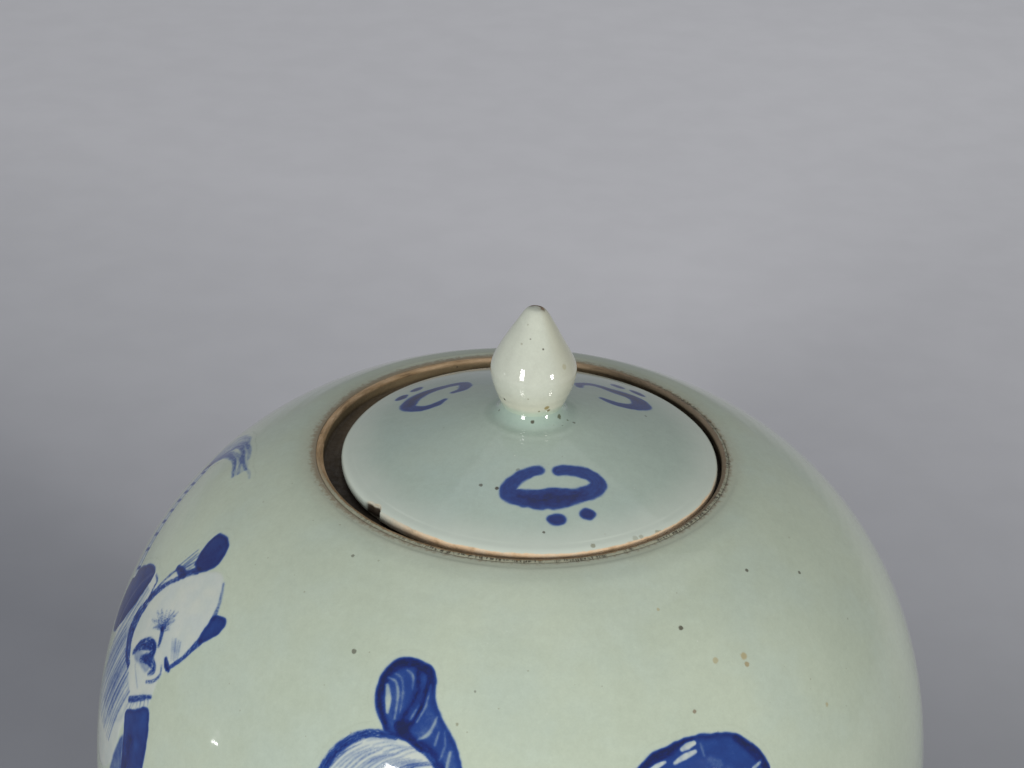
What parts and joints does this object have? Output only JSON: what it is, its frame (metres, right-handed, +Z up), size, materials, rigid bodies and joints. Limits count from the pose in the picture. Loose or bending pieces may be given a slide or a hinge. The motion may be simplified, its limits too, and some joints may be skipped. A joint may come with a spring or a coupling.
{
  "type": "ginger jar",
  "caption": "Globular celadon-glazed porcelain ginger jar with blue brushwork and a domed lift-off lid with a bud knob, sunk inside a bare brown mouth rim.",
  "frame": {"origin": "centre of the footprint, on the surface the jar stands on", "axes": "+Z up through the knob, +X to the right and -Y towards the viewer, on the side of the lid's nearest blue mark"},
  "size_m": [0.228, 0.228, 0.257],
  "materials": {
    "bare_foot": "unglazed fired clay, burnt orange-brown",
    "body_glaze": "pale grey-green celadon glaze with blue and white brushwork",
    "bare_rim": "unglazed brown-dressed lip and inner mouth",
    "lid_glaze": "bluish celadon glaze",
    "bare_lid": "unglazed fired clay",
    "knob_glaze": "creamy glaze, worn bare at the tip"
  },
  "bodies": {
    "jar": {"foot_ring": "bare_foot", "lower_body": "body_glaze", "upper_body": "body_glaze", "mouth_collar": "bare_rim"},
    "lid": {"lid_disc": "lid_glaze", "lid_flange": "bare_lid", "lid_knob": "knob_glaze"}
  },
  "joints": [
    {"name": "lid_lift", "type": "slide", "parent": "jar", "child": "lid", "axis": [0, 0, 1], "range_m": [0, 0.08]}
  ]
}
